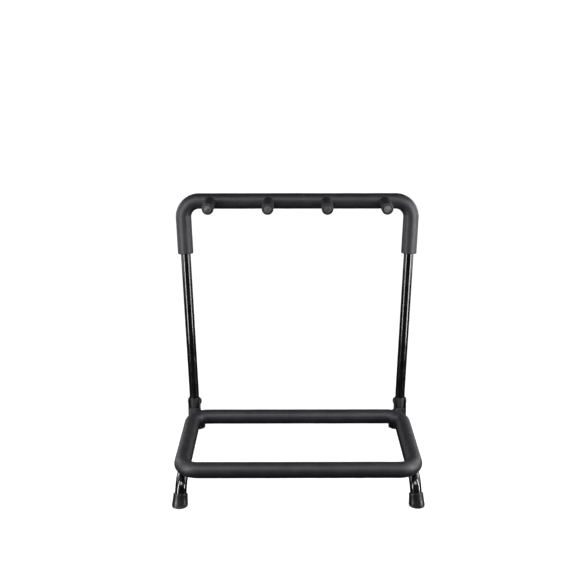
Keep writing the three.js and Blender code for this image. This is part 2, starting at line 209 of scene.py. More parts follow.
# %% The dust and the edge wear groups
def make_dust():
    group, given, result = new_group("settled_dust", {"Amount": 0.2}, ("Mask",))
    coordinates = add(group, "ShaderNodeTexCoord")
    upward = add(group, "ShaderNodeSeparateXYZ", {"Vector": coordinates.outputs["Normal"]})
    vector = given["Vector"]
    patches = add(group, "ShaderNodeTexNoise", {"Vector": vector}, scale=75, detail=6, roughness=0.7)
    specks = add(group, "ShaderNodeTexNoise", {"Vector": vector}, scale=2600, detail=1)
    looks_up = stretch(group, upward.outputs["Z"], 0.1, 1.0)
    patchy = combine(group, "MULTIPLY", looks_up, stretch(group, patches.outputs[0], 0.38, 0.72))
    speckled = combine(group, "MULTIPLY", patchy, stretch(group, specks.outputs[0], 0.35, 0.65, 0.4, 1.0))
    group.links.new(combine(group, "MULTIPLY", speckled, given["Amount"]), result["Mask"])
    return group


def make_wear():
    group, given, result = new_group("rubbed_edges", {"Amount": 0.5}, ("Mask",))
    shape = add(group, "ShaderNodeNewGeometry")
    vector = given["Vector"]
    breaks = add(group, "ShaderNodeTexNoise", {"Vector": vector}, scale=420, detail=5, roughness=0.75)
    sharp = stretch(group, shape.outputs["Pointiness"], 0.53, 0.62)
    broken = combine(group, "MULTIPLY", sharp, stretch(group, breaks.outputs[0], 0.42, 0.6))
    group.links.new(combine(group, "MULTIPLY", broken, given["Amount"]), result["Mask"])
    return group


dust = make_dust()
wear = make_wear()
print("groups", dust.name, "and", wear.name)

# %% [markdown]
# ## The finishes
#
# Each finish is one Principled shader. What is the same everywhere is set on the shader itself. What
# changes over the surface comes from the groups and from noise.

# %% A finish with grain, dust and bump
def new_finish(name, **constants):
    """A material and its parts: the tree, the shader and the object coordinates."""
    material = bpy.data.materials.new(name)
    material.use_nodes = True
    tree = material.node_tree
    shader = tree.nodes["Principled BSDF"]
    for label, value in constants.items():
        shader.inputs[label.replace("_", " ")].default_value = value
    where = add(tree, "ShaderNodeTexCoord").outputs["Object"]
    return material, tree, shader, where


def use_group(tree, group, vector, **values):
    node = add(tree, "ShaderNodeGroup", node_tree=group)
    tree.links.new(vector, node.inputs["Vector"])
    for label, value in values.items():
        node.inputs[label].default_value = value
    return node.outputs


def dusted(tree, shader, where, colour, roughness, amount):
    """Puts dust over a colour and a roughness, and joins both to the shader."""
    mask = use_group(tree, dust, where, Amount=amount)["Mask"]
    tree.links.new(blend_colours(tree, mask, colour, (0.34, 0.33, 0.31)), shader.inputs["Base Color"])
    duller = combine(tree, "MAXIMUM", roughness, stretch(tree, mask, 0.0, 0.5, 0.0, 0.9))
    tree.links.new(duller, shader.inputs["Roughness"])


def bumped(tree, shader, height, depth, strength=1.0):
    bump = add(tree, "ShaderNodeBump", {"Height": height}, strength=strength, distance=depth)
    tree.links.new(bump.outputs["Normal"], shader.inputs["Normal"])


# %% [markdown]
# **Foam.** The sleeves are closed-cell rubber foam, charcoal, with a thin skin that the extruder left.
# The skin shines a little when light grazes it, and its small open pores don't. So the pores are
# darker and rougher than the skin between them, and a bump sinks them.

# %% Foam
def make_foam():
    material, tree, shader, where = new_finish("charcoal_foam", Specular_IOR_Level=0.6)
    cells = use_group(tree, grain, where, Scale=720, Pores=0.8)
    skin = blend_colours(tree, cells["Mottle"], (0.007, 0.007, 0.0085), (0.0145, 0.014, 0.0185))
    pored = blend_colours(tree, cells["Pits"], skin, (0.003, 0.003, 0.0035))
    matt = stretch(tree, cells["Pits"], 0.0, 0.8, 0.5, 0.8)
    dusted(tree, shader, where, pored, matt, 0.04)
    bumped(tree, shader, cells["Height"], 0.35 * MM, 0.7)
    return material


# %% [markdown]
# **Gloss tube.** The steel is powder coated, gloss black. Powder flows out in the oven but keeps a
# faint orange peel, and hands leave broad, duller marks. A clear coat over a near black base gives the
# thin, bright lines that run down a gloss tube.

# %% Gloss black powder coat
def make_gloss():
    material, tree, shader, where = new_finish("gloss_black_tube", Coat_Weight=0.5, Coat_Roughness=0.06)
    peel = add(tree, "ShaderNodeTexNoise", {"Vector": where}, scale=310, detail=2)
    marks = add(tree, "ShaderNodeTexNoise", {"Vector": where}, scale=26, detail=5, roughness=0.62)
    marked = stretch(tree, marks.outputs[0], 0.35, 0.7)
    tint = blend_colours(tree, marked, (0.002, 0.002, 0.0025), (0.004, 0.004, 0.005))
    handled = stretch(tree, marks.outputs[0], 0.4, 0.68, 0.12, 0.3)
    dusted(tree, shader, where, tint, handled, 0.05)
    bumped(tree, shader, peel.outputs[0], 0.02 * MM, 0.3)
    return material


# %% [markdown]
# **Brackets and bolts.** Pressed steel parts have a thinner satin coat. It rubs through to bare steel
# on the edges, so there the colour gets lighter and the surface turns metallic.

# %% Satin black steel
def make_satin(name, bare, amount, roughness):
    material, tree, shader, where = new_finish(name)
    cells = use_group(tree, grain, where, Scale=1500, Pores=0.25)
    worn = use_group(tree, wear, where, Amount=amount)["Mask"]
    coat = blend_colours(tree, cells["Mottle"], (0.004, 0.004, 0.0045), (0.009, 0.009, 0.010))
    surface = blend_colours(tree, worn, coat, bare)
    tree.links.new(worn, shader.inputs["Metallic"])
    dull = stretch(tree, cells["Mottle"], 0.0, 1.0, roughness, roughness + 0.14)
    dusted(tree, shader, where, surface, dull, 0.08)
    bumped(tree, shader, cells["Height"], 0.05 * MM, 0.5)
    return material


# %% [markdown]
# ** Rubber and plastic.** The feet are moulded rubber, satin from the mould and grey where they scuff
# the floor. The plugs, saddles and liners are nylon, and the peg caps are a harder, dark grey plastic with a
# spark-eroded texture, which breaks its highlight into small patches. The caps' colour also runs in
# patches from dark to mid grey, and its lighter patches are painted highlight.

# %% Rubber, nylon and cap plastic
def make_moulded(name, dark, light, roughness, scale, depth, scuff_height=0.0):
    material, tree, shader, where = new_finish(name)
    cells = use_group(tree, grain, where, Scale=scale, Pores=0.35)
    worn = use_group(tree, wear, where, Amount=0.35)["Mask"]
    colour = blend_colours(tree, cells["Mottle"], dark, light)
    rubbed = blend_colours(tree, worn, colour, tuple(3 * part for part in light))
    if scuff_height:
        height = add(tree, "ShaderNodeSeparateXYZ", {"Vector": where}).outputs["Z"]
        near_floor = stretch(tree, height, scuff_height, 0.0)
        scuffed = combine(tree, "MULTIPLY", near_floor, cells["Mottle"])
        rubbed = blend_colours(tree, scuffed, rubbed, (0.11, 0.105, 0.10))
    dull = stretch(tree, cells["Mottle"], 0.0, 1.0, roughness, roughness + 0.16)
    dusted(tree, shader, where, rubbed, dull, 0.10)
    bumped(tree, shader, cells["Height"], depth, 0.6)
    return material


# %% [markdown]
# **Zinc.** The screws under the saddles and the joiners inside the loop are zinc plated. The plating is
# bright, with a cloudy grey bloom and a faint blue and straw tint.

# %% Zinc plate
def make_zinc():
    material, tree, shader, where = new_finish("zinc_plate", Metallic=1.0)
    cells = use_group(tree, grain, where, Scale=1800, Pores=0.2)
    cloud = add(tree, "ShaderNodeTexNoise", {"Vector": where}, scale=140, detail=4)
    clouded = stretch(tree, cloud.outputs[0], 0.35, 0.65)
    tint = blend_colours(tree, clouded, (0.50, 0.52, 0.56), (0.60, 0.57, 0.50))
    bloom = blend_colours(tree, cells["Mottle"], tint, (0.36, 0.37, 0.38))
    dull = stretch(tree, cells["Mottle"], 0.0, 1.0, 0.26, 0.5)
    dusted(tree, shader, where, bloom, dull, 0.06)
    bumped(tree, shader, cells["Height"], 0.03 * MM, 0.5)
    return material


finishes = {
    "foam": make_foam(),
    "gloss_tube": make_gloss(),
    "bracket": make_satin("satin_black_steel", bare=(0.30, 0.30, 0.31), amount=0.45, roughness=0.46),
    "foot_rubber": make_moulded("foot_rubber", dark=(0.005, 0.005, 0.0055), light=(0.010, 0.010, 0.011),
                                roughness=0.27, scale=900, depth=0.08 * MM, scuff_height=7 * MM),
    "nylon": make_moulded("black_nylon", dark=(0.012, 0.012, 0.013), light=(0.020, 0.020, 0.021),
                          roughness=0.36, scale=1300, depth=0.05 * MM),
    # The peg caps' colour runs in patches from dark grey to mid grey, and the mid grey patches are painted
    # highlight.
    "end_cap": make_moulded("cap_plastic_painted_highlight", dark=(0.030, 0.030, 0.031), light=(0.150, 0.150, 0.152),
                            roughness=0.34, scale=420, depth=0.50 * MM),
    "zinc": make_zinc(),
}
print("finishes:", ", ".join(finishes))

# %% [markdown]
# ## Helpers for shapes
#
# Almost every piece is a section moved along a line or turned about one. Blender has both: extrude and
# spin. A piece is shaped in a bmesh, gets its place in its vertices, and its object stays at the
# origin. At the end it is told which CAD body it rides on and which CAD nodes it stands for.

# %% Turn a bmesh into a piece of the rack
SMOOTH_BELOW = math.radians(35)


def finished_piece(name, shape, slot, body, nodes):
    mesh = bpy.data.meshes.new(name)
    shape.to_mesh(mesh)
    shape.free()
    mesh.shade_smooth()
    mesh.set_sharp_from_angle(angle=SMOOTH_BELOW)
    mesh.materials.append(finishes[slot])
    piece = bpy.data.objects.new(name, mesh)
    bpy.context.scene.collection.objects.link(piece)
    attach(piece, body)
    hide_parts(*nodes)
    mesh.calc_loop_triangles()
    print(f"{name}: {len(mesh.loop_triangles)} triangles")
    return piece


# %% Place, soften and cut
def facing(at, direction):
    """A matrix that turns +Z to a direction and moves it to a point."""
    return Matrix.Translation(at) @ Z.rotation_difference(direction).to_matrix().to_4x4()


def place(shape, at, direction=Z):
    bmesh.ops.transform(shape, matrix=facing(at, direction), verts=shape.verts)
    return shape


def bevel(shape, geometry, width, segments, affect="EDGES"):
    """Rounds some edges of a shape, or some of its corners."""
    bmesh.ops.bevel(shape, geom=geometry, offset=width, offset_type="OFFSET", segments=segments, profile=0.5,
                    affect=affect, material=-1, clamp_overlap=True)
    return shape


def soften(shape, width, segments=2, sharper_than=math.radians(30)):
    """Rounds every edge that turns more sharply than an angle."""
    edges = [e for e in shape.edges if e.is_manifold and e.calc_face_angle() > sharper_than]
    return bevel(shape, edges, width, segments)


def scratch_object(shape):
    mesh = bpy.data.meshes.new("scratch")
    shape.to_mesh(mesh)
    shape.free()
    scratch = bpy.data.objects.new("scratch", mesh)
    bpy.context.scene.collection.objects.link(scratch)
    return scratch


SMALLEST_CUT = 0.001 * MM ** 3


def carve(shape, tools, operation="DIFFERENCE"):
    """Cuts the tools out of a shape, or joins them to it, and gives back a new bmesh.

    The solver needs closed meshes. It leaves an open or doubled one as it was and says nothing, so both
    the shape and the result are checked here.
    """
    if any(len(edge.link_faces) != 2 for part in (shape, *tools) for edge in part.edges):
        raise ValueError("a mesh that goes to carve is not closed")
    volume_before = abs(shape.calc_volume())
    body = scratch_object(shape)
    scratches = [body, *(scratch_object(tool) for tool in tools)]
    for tool in scratches[1:]:
        step = body.modifiers.new("carve", "BOOLEAN")
        step.object, step.operation, step.solver = tool, operation, "MANIFOLD"
    bpy.context.view_layer.update()
    made = bpy.data.meshes.new_from_object(body.evaluated_get(bpy.context.evaluated_depsgraph_get()))
    carved = bmesh.new()
    carved.from_mesh(made)
    if abs(abs(carved.calc_volume()) - volume_before) < SMALLEST_CUT:
        raise ValueError("carve changed nothing")
    bpy.data.meshes.remove(made)
    for scratch in scratches:
        mesh = scratch.data
        bpy.data.objects.remove(scratch)
        bpy.data.meshes.remove(mesh)
    return carved


# %% [markdown]
# **Turned shapes.** A lathe part needs only half its outline. The outline is a few points from the
# axis and back, and a full spin with its ends merged makes the solid.

# %% Turned shapes and drills
ROUND = 48


def turned(outline, segments=ROUND):
    """Spins an outline of (radius, height) points about Z."""
    shape = bmesh.new()
    points = [shape.verts.new((radius, 0, height)) for radius, height in outline]
    edges = [shape.edges.new(pair) for pair in zip(points, points[1:])]
    bmesh.ops.spin(shape, geom=points + edges, cent=(0, 0, 0), axis=Z, angle=2 * math.pi, steps=segments,
                   use_merge=True)
    bmesh.ops.remove_doubles(shape, verts=shape.verts, dist=1e-7)
    bmesh.ops.recalc_face_normals(shape, faces=shape.faces)
    return shape


def drill(at, direction, length, radius, segments=ROUND):
    """A solid cylinder, centred on a point, to cut a hole with."""
    shape = bmesh.new()
    bmesh.ops.create_cone(shape, cap_ends=True, segments=segments, radius1=radius, radius2=radius,
                          depth=length)
    return place(shape, at, direction)


def block(low, high):
    """A box between two corners."""
    shape = bmesh.new()
    bmesh.ops.create_cube(shape, size=1)
    bmesh.ops.scale(shape, vec=high - low, verts=shape.verts)
    bmesh.ops.translate(shape, vec=(low + high) / 2, verts=shape.verts)
    return shape


# %% [markdown]
# **Bent tubes.** A tube bender clamps a straight tube and rolls it round a die. The same two moves make
# the mesh: extrude the end straight ahead, then spin it round the die's centre. The section is a flat
# ring between two circles, so the tube gets its wall at once and both of its ends are closed. Every
# step leaves the ring that it started from inside the wall, and those rings are deleted at the end. A
# curve object with a bevel is the other way, but it has no wall and no true bend radius.

# %% The bender
def bends_along(corners, radii):
    """Where each bend of a route starts and ends, its centre, its axis and its angle."""
    bends = []
    for before, corner, after, radius in zip(corners, corners[1:], corners[2:], radii):
        into, out = (corner - before).normalized(), (after - corner).normalized()
        angle = into.angle(out)
        axis = into.cross(out).normalized()
        trim = radius * math.tan(angle / 2)
        start = corner - into * trim
        bends.append({"start": start, "end": corner + out * trim, "radius": radius, "axis": axis,
                      "angle": angle, "centre": start + axis.cross(into) * radius})
    return bends


def ring_of_faces(outer, inner, at, direction, segments):
    """A flat ring. Its outer edge is marked as skin, so that foam knows which wall is outside."""
    shape = bmesh.new()
    skin = shape.verts.layers.float.new("skin")
    circle = {"segments": segments, "matrix": facing(at, direction)}
    for vert in bmesh.ops.create_circle(shape, radius=outer, **circle)["verts"]:
        vert[skin] = 1.0
    bmesh.ops.create_circle(shape, radius=inner, **circle)
    bmesh.ops.bridge_loops(shape, edges=shape.edges[:])
    return shape


def only(kind, geometry):
    return [item for item in geometry if isinstance(item, kind)]


def clear_inside(shape):
    """Deletes the rings that each extrude and spin step leaves inside the wall, but not the two ends."""
    skin = shape.verts.layers.float["skin"]
    inside = [f for f in shape.faces if any(len(e.link_faces) > 2 for e in f.edges)
              and {round(v[skin]) for v in f.verts} == {0, 1}]
    bmesh.ops.delete(shape, geom=inside, context="FACES")


def bent_tube(corners, radii, outer, inner, segments=ROUND, step=20 * MM, bend_step=math.radians(3)):
    """Extrudes a ring along the straight runs of a route and spins it round its bends."""
    shape = ring_of_faces(outer, inner, corners[0], corners[1] - corners[0], segments)
    end, here = shape.faces[:], corners[0]
    for bend in [*bends_along(corners, radii), None]:
        run = (bend["start"] if bend else corners[-1]) - here
        count = max(1, round(run.length / step))
        for _ in range(count):
            end = bmesh.ops.extrude_face_region(shape, geom=only(bmesh.types.BMFace, end))["geom"]
            bmesh.ops.translate(shape, vec=run / count, verts=only(bmesh.types.BMVert, end))
        if bend:
            faces = only(bmesh.types.BMFace, end)
            count = max(2, round(bend["angle"] / bend_step))
            end = bmesh.ops.spin(shape, geom=faces, cent=bend["centre"], axis=bend["axis"],
                                 angle=bend["angle"], steps=count)["geom_last"]
            here = bend["end"]
    clear_inside(shape)
    bmesh.ops.recalc_face_normals(shape, faces=shape.faces)
    return shape


# %% [markdown]
# ## The side tubes
#
# Each side tube is a front leg, a straight run under the loop's side bar, and a rear leg. The legs lean
# out, and the record's floor mounts say where they meet the ground. Screws and a bolt pass through the
# straight run, so it is drilled, as the real tube is.

# %% Side tubes
side_tube_radius = 12 * MM
side_tube_wall = 1.5 * MM
side_tube_bend = 28 * MM
side_tube_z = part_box("side_tube_left")[1].z - side_tube_radius
leg_tilt = math.radians(18)
leg_end_height = 6 * MM
HOLE_ROUND = 24
floor_points = {m["name"]: Vector(m["pos_m"]) for m in frame["record"]["mounts"]}


def leg(side_name, end_name):
    """Where a leg meets the floor, the corner above it, and the way up."""
    floor = floor_points[f"floor_{end_name}_{side_name}"]
    back = ENDS[end_name] * side_tube_z * math.tan(leg_tilt)
    corner = Vector((SIDES[side_name] * side_x, floor.y - back, side_tube_z))
    return floor, corner, (corner - floor).normalized()


def screw_place(side_name, end_name):
    low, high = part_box(f"saddle_screw_{end_name}_{side_name}")
    return Vector(((low.x + high.x) / 2, (low.y + high.y) / 2, high.z))


def make_side_tube(side_name):
    legs = [leg(side_name, end_name) for end_name in ENDS]
    tips = [floor + up * leg_end_height / up.z for floor, corner, up in legs]
    corners = [tips[0], legs[0][1], legs[1][1], tips[1]]
    tube = bent_tube(corners, [side_tube_bend] * 2, side_tube_radius, side_tube_radius - side_tube_wall)
    x, through = SIDES[side_name] * side_x, 40 * MM
    drills = [drill(Vector((x, screw_place(side_name, end_name).y, side_tube_z)), Z, through,
                    screw_hole_radius, HOLE_ROUND) for end_name in ENDS]
    drills.append(drill(Vector((x, pivot.y, side_tube_z)), X, through, bracket_hole_radius, HOLE_ROUND))
    name = f"side_tube_{side_name}"
    return finished_piece(f"bent_{name}", carve(tube, drills), "gloss_tube", "base", [name])


for side_name in SIDES:
    make_side_tube(side_name)

# %% [markdown]
# ## The upright frame
#
# One tube makes both uprights and the top bar. It leaves the hinges straight, spreads a little on long,
# slow bends, and turns over the top on the bender's die.

# %% Upright frame
tail = 40 * MM
spread_bend = 300 * MM
spread_start = 22 * MM
neck_foam_drop = 119 * MM


def along_upright(side, distance):
    return Vector((side * side_x, pivot.y, pivot.z)) + lean_up * distance


def top_corner(side):
    return Vector((side * top_x, top_y, top_z))


def make_upright():
    left, right = ([along_upright(side, -tail), along_upright(side, spread_start), top_corner(side)]
                   for side in (-1, 1))
    radii = [spread_bend, tube_bend, tube_bend, spread_bend]
    tube = bent_tube([*left, *reversed(right)], radii, tube_radius, tube_radius - tube_wall,
                     bend_step=math.radians(2))
    drills = [drill(along_upright(side, 0), X, 30 * MM, pivot_hole_radius, HOLE_ROUND) for side in (-1, 1)]
    tube = carve(tube, drills)
    return finished_piece("bent_upright_frame", tube, "gloss_tube", "upright", ["upright_frame"])


make_upright()

# %% [markdown]
# ## The foam sleeves
#
# Foam sleeve is cut from a long roll and blown onto the bent tube with air. It never sits perfectly:
# its outside swells and shrinks by a few tenths of a millimetre, it crowds into small folds on the
# inside of a bend, and its cut ends are a little rounded. Rings every three millimetres give the mesh
# enough points to move. Only the outer wall moves, because the inner one grips the tube.

# %% Let a sleeve settle on its tube
def fold_depth(point, bends, radius):
    """How deep the folds are at a point: none outside the bends, most on the inside of one."""
    for bend in bends:
        arm = point - bend["centre"]
        arm -= bend["axis"] * arm.dot(bend["axis"])
        start = bend["start"] - bend["centre"]
        turn = math.atan2(start.cross(arm).dot(bend["axis"]), start.dot(arm))
        share = turn / bend["angle"]
        inside = (bend["radius"] - arm.length) / radius
        if 0 < share < 1 and inside > 0 and bend["radius"] < 2 * tube_bend:
            wave = 0.5 - 0.5 * math.cos(2 * math.pi * 4 * share)
            return wave * math.sin(math.pi * share) * inside ** 2
    return 0.0


def settle(shape, bends, radius, seed):
    skin = shape.verts.layers.float["skin"]
    shape.normal_update()
    moves = []
    for vert in shape.verts:
        if vert[skin] > 0.99:
            spot = vert.co + Vector((seed, 0, 0))
            swell = 0.22 * noise.noise(spot * 30) + 0.10 * noise.noise(spot * 120)
            moves.append((vert, vert.normal * (swell - 0.5 * fold_depth(vert.co, bends, radius)) * MM))
    for vert, move in moves:
        vert.co += move
    return shape


def round_cut_ends(shape, width):
    """Rounds the outer rim at both ends of a sleeve."""
    skin = shape.verts.layers.float["skin"]
    rims = [e for e in shape.edges if all(v[skin] > 0.5 for v in e.verts)
            and any(v[skin] < 0.5 for f in e.link_faces for v in f.verts)]
    return bevel(shape, rims, width, segments=4)


FOAM_ROUND = 64
FOAM_STEP = 3 * MM


def sleeve(corners, radii, outer, seed, bore=tube_radius + fit_gap, cut_rounding=1.3 * MM,
           segments=FOAM_ROUND):
    shape = bent_tube(corners, radii, outer, bore, segments, FOAM_STEP)
    round_cut_ends(shape, cut_rounding)
    return settle(shape, bends_along(corners, radii), outer, seed)


# %% [markdown]
# **Loop sleeves.** Two sleeves cover the loop, and they meet half way along the side bars. A window is
# cut through each side, from below, where a saddle block reaches the tube.

# %% Loop sleeves
seam_retreat = 0.7 * MM
window_room = 0.6 * MM


def saddle_window(side_name, end_name):
    low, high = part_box(f"saddle_{end_name}_{side_name}")
    room = Vector((1, 1, 1)) * window_room
    return block(low - room, high + room)


def make_loop_sleeve(end_name, seed):
    bar_y = loop_bar_y[end_name]
    cut_y = seam_y[end_name] + math.copysign(seam_retreat, bar_y - seam_y[end_name])
    corners = [Vector((x, y, loop_z)) for x, y in (
        (-side_x, cut_y), (-side_x, bar_y), (side_x, bar_y), (side_x, cut_y))]
    foam = sleeve(corners, [tube_bend] * 2, loop_foam_radius, seed, cut_rounding=0.6 * MM)
    foam = carve(foam, [saddle_window(side_name, end_name) for side_name in SIDES])
    name = f"{end_name}_loop_foam"
    piece = finished_piece(f"{end_name}_loop_sleeve", foam, "foam", "base", [name])
    return piece


for seed, end_name in enumerate(ENDS):
    make_loop_sleeve(end_name, seed)

# %% [markdown]
# **Neck sleeve.** The sleeve on the upright frame covers the top bar, both corners and the first part
# of each upright. Four round holes let the pegs' tubes through.

# %% Neck sleeve
PEGS = range(1, 5)
peg_droop = math.radians(3)
peg_way = Vector((0, -math.cos(peg_droop), -math.sin(peg_droop)))
peg_core_radius = 6 * MM


def peg_root(number):
    low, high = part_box(f"peg_foam_{number}")
    return Vector(((low.x + high.x) / 2, top_y, top_z))


def make_neck_sleeve():
    ends = {}
    for side in (-1, 1):
        down = (along_upright(side, spread_start) - top_corner(side)).normalized()
        ends[side] = top_corner(side) + down * neck_foam_drop
    corners = [ends[-1], top_corner(-1), top_corner(1), ends[1]]
    foam = sleeve(corners, [tube_bend] * 2, neck_foam_radius, seed=5)
    holes = [drill(peg_root(number) + peg_way * neck_foam_radius, peg_way, neck_foam_radius * 1.6,
                   peg_core_radius + fit_gap) for number in PEGS]
    piece = finished_piece("neck_sleeve", carve(foam, holes), "foam", "upright", ["neck_foam"])
    return piece


make_neck_sleeve()

# %% [markdown]
# ## The pegs
#
# Each peg is a short tube with its own sleeve. The sleeve is pushed up against the bar until its cut
# end takes the bar's round shape. So the rings near the bar are pulled back onto that round: a point
# that is off the peg's middle by h meets a bar of radius R at the distance sqrt(R squared - h squared).

# %% Peg sleeves
peg_foam_radius = span("peg_foam_1", 0) / 2
peg_end = 77.5 * MM
peg_side_up = X.cross(peg_way).normalized()


def fit_to_bar(shape, root, reach=9 * MM):
    """Pulls the first part of a sleeve back onto the round of the bar."""
    bar = neck_foam_radius + fit_gap
    for vert in shape.verts:
        arm = vert.co - root
        ahead = arm.dot(peg_way) - bar
        if ahead < reach:
            off = min(abs(arm.dot(peg_side_up)), bar)
            share = 1 - max(ahead, 0) / reach
            vert.co += peg_way * (math.sqrt(bar ** 2 - off ** 2) - bar) * share ** 2
    return shape


def make_peg_sleeve(number):
    root = peg_root(number)
    corners = [root + peg_way * (neck_foam_radius + fit_gap), root + peg_way * peg_end]
    foam = sleeve(corners, [], peg_foam_radius, seed=10 + number, bore=peg_core_radius + fit_gap,
                  cut_rounding=1.6 * MM, segments=ROUND)
    fit_to_bar(foam, root)
    piece = finished_piece(f"peg_sleeve_{number}", foam, "foam", "upright", [f"peg_foam_{number}"])
    return piece


for number in PEGS:
    make_peg_sleeve(number)

# %% [markdown]
# **Peg caps.** A moulded button closes each peg. Its stem goes into the tube, and its flange lies on
# the foam's cut end. The flange has a rolled rim, then a shallow groove, then a low dome with a dimple.

# %% Peg caps
def make_peg_cap(number):
    stem, flange, back = 4.7 * MM, 7.8 * MM, peg_end + fit_gap
    outline = [(0, peg_end - 10 * MM), (stem - 0.6 * MM, peg_end - 10 * MM), (stem, peg_end - 9 * MM),
               (stem, back), (flange, back), (flange, back + 0.9 * MM), (flange - 0.5 * MM, back + 1.4 * MM),
               (6.3 * MM, back + 1.6 * MM), (5.8 * MM, back + 0.9 * MM), (5.2 * MM, back + 0.9 * MM),
               (4.6 * MM, back + 1.7 * MM), (2.9 * MM, back + 2.1 * MM), (1.3 * MM, back + 2.2 * MM),
               (0.9 * MM, back + 1.9 * MM), (0, back + 1.9 * MM)]
    cap = soften(turned(outline), 0.16 * MM)
    place(cap, peg_root(number), peg_way)
    return finished_piece(f"peg_button_{number}", cap, "end_cap", "upright", [f"peg_cap_{number}"])


for number in PEGS:
    make_peg_cap(number)

# %% [markdown]
# ## The feet
#
# A foot is a flared rubber cup on the end of a leg. It is turned about the leg's own line, and then the
# floor cuts it: bisect takes away everything below zero, and the open cut is filled. An inset sole
# leaves a lip, so the foot stands on a rim and grips.

# %% Feet
foot_height = 25 * MM
foot_top_radius = 14.6 * MM
foot_bottom_radius = 16.4 * MM
foot_bore = side_tube_radius + fit_gap
lip_width, lip_slope, lip_depth = 2.6 * MM, 0.7 * MM, 0.9 * MM
smallest_sole = 100 * MM ** 2


def make_foot(side_name, end_name):
    floor, corner, up = leg(side_name, end_name)
    bore_floor = 4.5 * MM / up.z
    outline = [(0, -7 * MM), (foot_bottom_radius, -7 * MM), (foot_bottom_radius, 3.4 * MM),
               (foot_bottom_radius - 0.5 * MM, 6.5 * MM),
               (foot_top_radius + 0.2 * MM, foot_height - 4.2 * MM),
               (foot_top_radius + 0.4 * MM, foot_height - 2.6 * MM),
               (foot_top_radius + 0.1 * MM, foot_height - 0.9 * MM),
               (foot_top_radius - 0.9 * MM, foot_height),
               (foot_bore + 0.4 * MM, foot_height), (foot_bore, foot_height - 0.6 * MM),
               (foot_bore, bore_floor), (0, bore_floor)]
    cup = place(turned(outline, 64), floor, up)
    everything = cup.verts[:] + cup.edges[:] + cup.faces[:]
    cut = bmesh.ops.bisect_plane(cup, geom=everything, dist=1e-7, plane_co=(0, 0, 0), plane_no=-Z,
                                 clear_outer=True)
    rim = only(bmesh.types.BMEdge, cut["geom_cut"])
    bmesh.ops.contextual_create(cup, geom=rim)
    bmesh.ops.recalc_face_normals(cup, faces=cup.faces)
    bevel(cup, rim, 0.8 * MM, segments=3)
    sole = [f for f in cup.faces if f.normal.z < -0.99 and f.calc_area() > smallest_sole]
    bmesh.ops.inset_region(cup, faces=sole, thickness=lip_width)
    bmesh.ops.inset_region(cup, faces=sole, thickness=lip_slope, depth=-lip_depth)
    name = f"foot_{end_name}_{side_name}"
    return finished_piece(f"rubber_{name}", cup, "foot_rubber", "base", [name])


for side_name in SIDES:
    for end_name in ENDS:
        make_foot(side_name, end_name)

# %% [markdown]
# ## The hinge brackets
#
# A bracket is one strip of steel, folded to a U: two cheeks and the web that the upright leans on. A
# cheek starts as a few corner points. A vertex bevel rounds its corners, an extrusion gives its
# thickness, and the joined bracket is drilled for its two bolts.

# %% Hinge brackets
cheek_thickness = 1.2 * MM
cheek_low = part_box("hinge_bracket_left")[0].z
cheek_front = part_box("hinge_bracket_left")[0].y
cheek_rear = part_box("hinge_bracket_left")[1].y
cheek_top_radius = 8.5 * MM
cheek_rounding, cheek_top_rounding = 4 * MM, 8.4 * MM
fold_radius = 1.15 * MM
bracket_half = span("hinge_bracket_left", 0) / 2
web_low, web_high = 63 * MM, 92.5 * MM


def cheek(x_from):
    top = pivot.z + cheek_top_radius
    corners = [(cheek_front, cheek_low, cheek_rounding), (cheek_rear, cheek_low, cheek_rounding),
               (pivot.y + cheek_top_radius, top, cheek_top_rounding),
               (pivot.y - cheek_top_radius, top, cheek_top_rounding), (cheek_front, web_high, cheek_rounding)]
    plate = bmesh.new()
    points = [plate.verts.new((x_from, y, z)) for y, z, rounding in corners]
    plate.faces.new(points)
    for point, (y, z, rounding) in zip(points, corners):
        bevel(plate, [point], rounding, segments=12, affect="VERTICES")
    face = bmesh.ops.extrude_face_region(plate, geom=plate.faces[:])["geom"]
    bmesh.ops.translate(plate, vec=X * cheek_thickness, verts=only(bmesh.types.BMVert, face))
    bmesh.ops.recalc_face_normals(plate, faces=plate.faces)
    return plate


def folded_web(middle_x):
    low = Vector((middle_x - bracket_half, cheek_front, web_low))
    high = Vector((middle_x + bracket_half, cheek_front + cheek_thickness, web_high))
    web = block(low, high)
    folds = [e for e in web.edges if all(v.co.y < low.y + 1e-6 for v in e.verts)
             and abs(e.verts[0].co.x - e.verts[1].co.x) < 1e-6]
    return bevel(web, folds, fold_radius, segments=6)


def make_bracket(side_name):
    middle = SIDES[side_name] * side_x
    left_cheek = cheek(middle - bracket_half)
    right_cheek = cheek(middle + bracket_half - cheek_thickness)
    whole = carve(left_cheek, [right_cheek, folded_web(middle)], "UNION")
    drills = [drill(Vector((middle, pivot.y, z)), X, 60 * MM, radius)
              for z, radius in ((pivot.z, pivot_hole_radius), (side_tube_z, bracket_hole_radius))]
    whole = carve(whole, drills)
    bmesh.ops.remove_doubles(whole, verts=whole.verts, dist=1e-5)
    soften(whole, 0.25 * MM, 2)
    name = f"hinge_bracket_{side_name}"
    return finished_piece(f"folded_{name}", whole, "bracket", "base", [name])


for side_name in SIDES:
    make_bracket(side_name)

# %% [markdown]
# ## Bolts, nuts and screws
#
# A button-head bolt is turned, and then a hexagonal socket is cut into its head. A nut is a hexagon
# with a hole. The head is domed and the nut's edges are bevelled, because a perfectly sharp edge never
# catches the light.

# %% Bolts and nuts
def hexagon(across_flats, length, at_height):
    shape = bmesh.new()
    radius = across_flats / math.sqrt(3)
    bmesh.ops.create_cone(shape, cap_ends=True, segments=6, radius1=radius, radius2=radius, depth=length)
    bmesh.ops.translate(shape, vec=Z * at_height, verts=shape.verts)
    return shape


